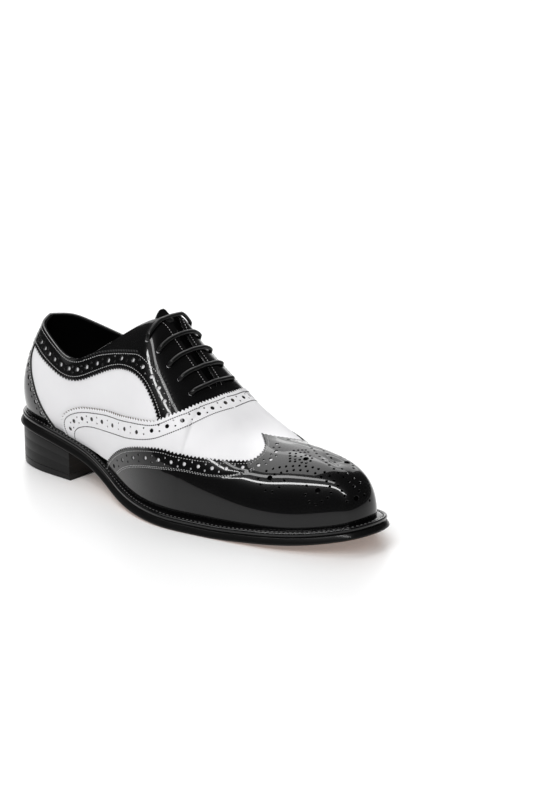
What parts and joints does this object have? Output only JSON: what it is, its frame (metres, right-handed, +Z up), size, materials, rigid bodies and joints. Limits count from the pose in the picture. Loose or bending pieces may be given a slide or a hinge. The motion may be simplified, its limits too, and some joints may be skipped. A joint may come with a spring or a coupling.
{
  "type": "spectator shoe",
  "caption": "Two-tone laced dress shoe for the right foot: wing tip, brogued leather panels, stitched welt, leather sole and stacked heel",
  "frame": {"origin": "under the middle of the shoe's box, on the floor", "axes": "+X to the toe, +Y to the wearer's inner side, +Z up"},
  "size_m": [0.318, 0.1204, 0.1314],
  "materials": {
    "sole": "tan leather underside with a black edge",
    "sole_edge": "black, waxed",
    "lining": "black, matt",
    "white_leather": "white, smooth, low sheen",
    "black_leather": "black, highly polished",
    "lace": "black, waxed round cord"
  },
  "bodies": {
    "root": {"outsole": "sole", "welt": "sole_edge", "heel": "sole_edge", "insole": "lining", "upper": "white_leather", "vamp": "white_leather", "wing_cap": "black_leather", "facings": "black_leather", "counter": "black_leather", "tongue": "black_leather", "lace_bar_1": "lace", "lace_bar_2": "lace", "lace_bar_3": "lace", "lace_bar_4": "lace", "lace_bar_5": "lace"}
  },
  "joints": []
}
